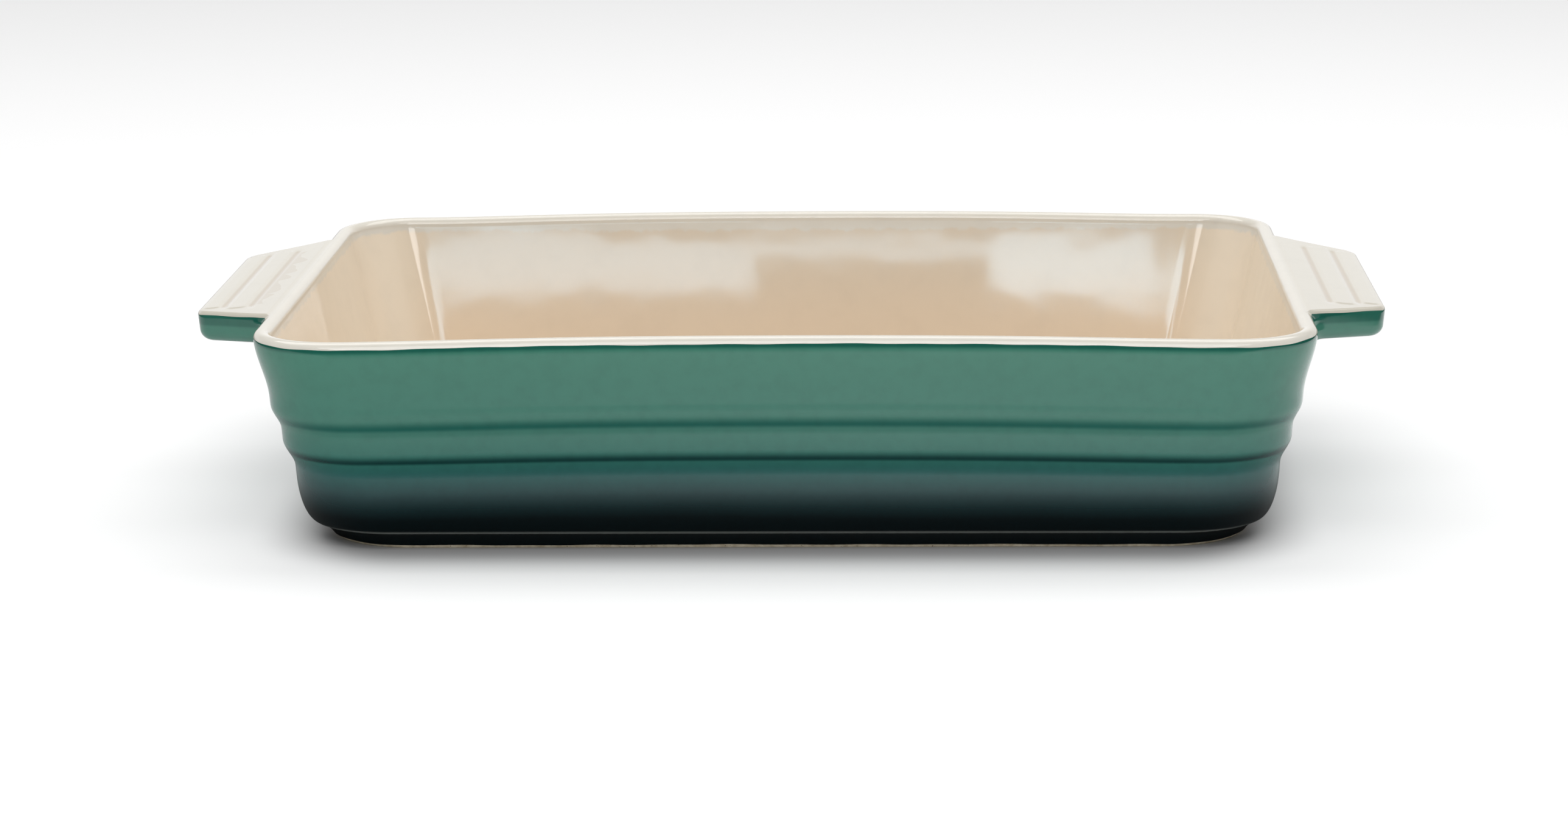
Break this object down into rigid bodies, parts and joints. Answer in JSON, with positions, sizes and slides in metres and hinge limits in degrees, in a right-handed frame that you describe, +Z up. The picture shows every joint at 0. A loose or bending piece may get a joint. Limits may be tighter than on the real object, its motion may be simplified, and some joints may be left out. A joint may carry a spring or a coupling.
{
  "type": "lasagna dish",
  "caption": "Deep rectangular glazed stoneware baking dish with a stepped outside wall, a rounded lip, a foot ring and a flat handle tab at each short end.",
  "frame": {"origin": "on the standing plane under the middle of the dish", "axes": "+X along the dish towards the right handle, +Y to the back, +Z up out of the dish"},
  "size_m": [0.3806, 0.24, 0.0709],
  "materials": {
    "bare_stoneware": "fired, unglazed",
    "cream_glaze": "glossy cream glaze, sand inside",
    "green_glaze": "glossy grey-green glaze, darker towards the foot"
  },
  "bodies": {
    "root": {"stoneware_basin": "bare_stoneware", "foot_ring": "bare_stoneware", "left_handle": "bare_stoneware", "right_handle": "bare_stoneware", "interior_glaze": "cream_glaze", "left_handle_top_glaze": "cream_glaze", "right_handle_top_glaze": "cream_glaze", "exterior_glaze": "green_glaze", "left_handle_under_glaze": "green_glaze", "right_handle_under_glaze": "green_glaze", "underside_glaze": "green_glaze"}
  },
  "joints": []
}
